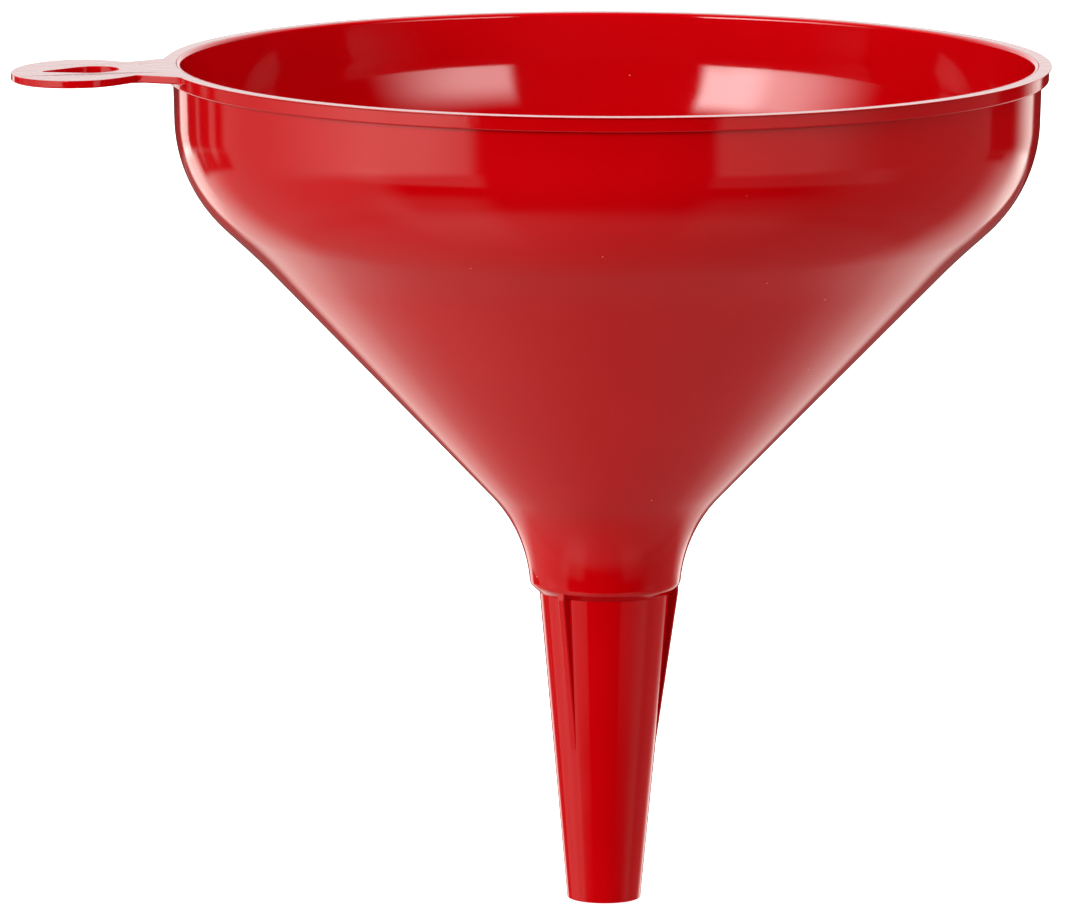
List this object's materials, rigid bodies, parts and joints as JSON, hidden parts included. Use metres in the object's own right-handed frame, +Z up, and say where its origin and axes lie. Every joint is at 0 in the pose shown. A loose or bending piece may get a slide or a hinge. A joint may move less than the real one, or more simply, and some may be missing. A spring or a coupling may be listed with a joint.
{
  "type": "funnel",
  "caption": "Round household funnel with a flanged rim, flat hanging tab, shallow bowl on a steep cone, stepped collar and tapered spout with vent ribs.",
  "frame": {"origin": "centre of the open end of the spout, on the funnel's axis", "axes": "+Z up along the funnel's axis from the spout's tip to the rim, hanging tab towards -X, -Y to the viewer"},
  "size_m": [0.1758, 0.15, 0.1437],
  "materials": {
    "red_plastic": "glossy deep-red injection-moulded polypropylene or polyethylene, with faint flow marks"
  },
  "bodies": {
    "root": {"rim_flange": "red_plastic", "hanging_tab": "red_plastic", "bowl_side": "red_plastic", "bowl_shoulder": "red_plastic", "cone_wall": "red_plastic", "throat_collar": "red_plastic", "spout_tube": "red_plastic", "vent_rib_1": "red_plastic", "vent_rib_2": "red_plastic", "vent_rib_3": "red_plastic"}
  },
  "joints": []
}
